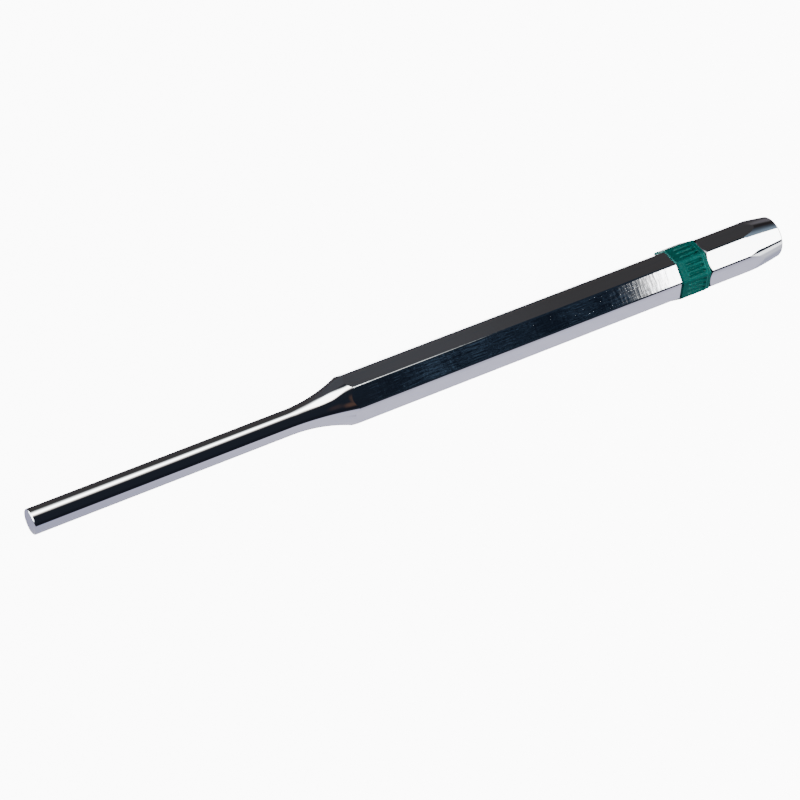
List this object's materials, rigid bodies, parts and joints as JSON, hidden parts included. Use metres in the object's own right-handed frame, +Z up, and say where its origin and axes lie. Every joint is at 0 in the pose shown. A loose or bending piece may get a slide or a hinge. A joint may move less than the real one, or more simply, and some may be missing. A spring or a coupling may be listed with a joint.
{
  "type": "pin punch",
  "caption": "Pin punch with a straight round driving pin, an octagonal chromed shank, a tapered struck head and a fluted plastic colour ring.",
  "frame": {"origin": "centre of the pin's flat tip face, on the punch's axis", "axes": "+X along the punch from the tip to the struck head, +Z up when the punch lies on a flat of its shank"},
  "size_m": [0.165, 0.0104, 0.0104],
  "materials": {
    "chromed_steel": "polished chrome plate over forged and turned steel, with fine lengthways polishing marks",
    "green_plastic": "moulded teal green plastic, half gloss"
  },
  "bodies": {
    "root": {"steel_punch": "chromed_steel", "colour_ring": "green_plastic"}
  },
  "joints": []
}
